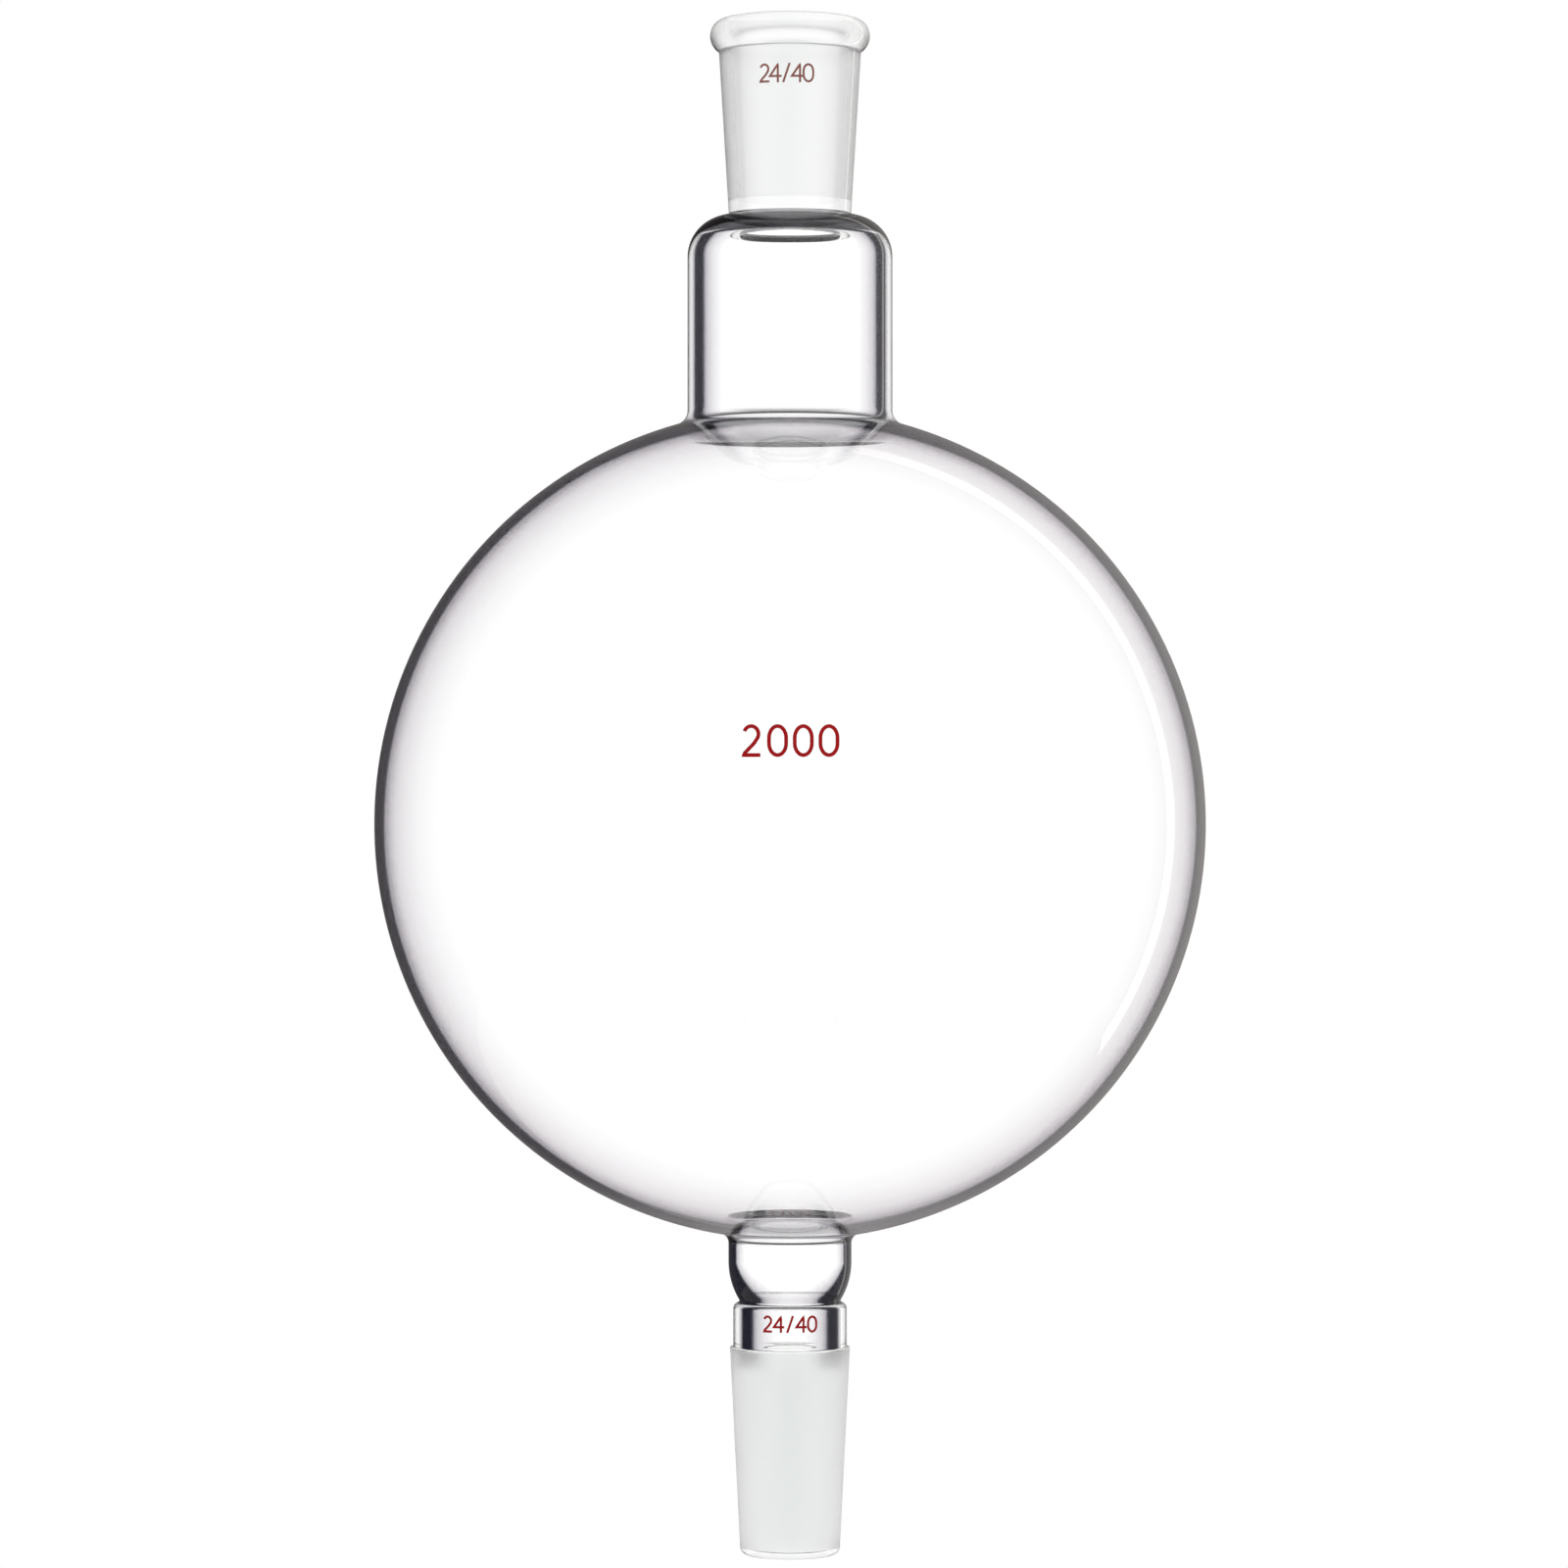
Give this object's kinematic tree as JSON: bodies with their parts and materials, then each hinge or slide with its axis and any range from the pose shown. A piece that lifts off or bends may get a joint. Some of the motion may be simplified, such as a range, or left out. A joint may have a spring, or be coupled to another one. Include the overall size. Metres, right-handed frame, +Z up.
{
  "type": "reservoir flask",
  "caption": "Round glass reservoir flask with a tapered ground socket above and a tapered ground cone below, hollow right through.",
  "frame": {"origin": "centre of the lower cone's gauge plane, where the ground cone is 24 mm across", "axes": "+Z up along the flask's axis, from the cone through the globe to the socket; the flask is round about Z, and +X is to the right of the printed marks, which face -Y"},
  "size_m": [0.1659, 0.1658, 0.3071],
  "materials": {
    "clear_glass": "clear borosilicate glass, flame-worked",
    "ground_glass": "ground with fine grit, matt and pale grey",
    "red_enamel": "fired red enamel, thinly printed"
  },
  "bodies": {
    "root": {"flask": "clear_glass"}
  },
  "joints": []
}
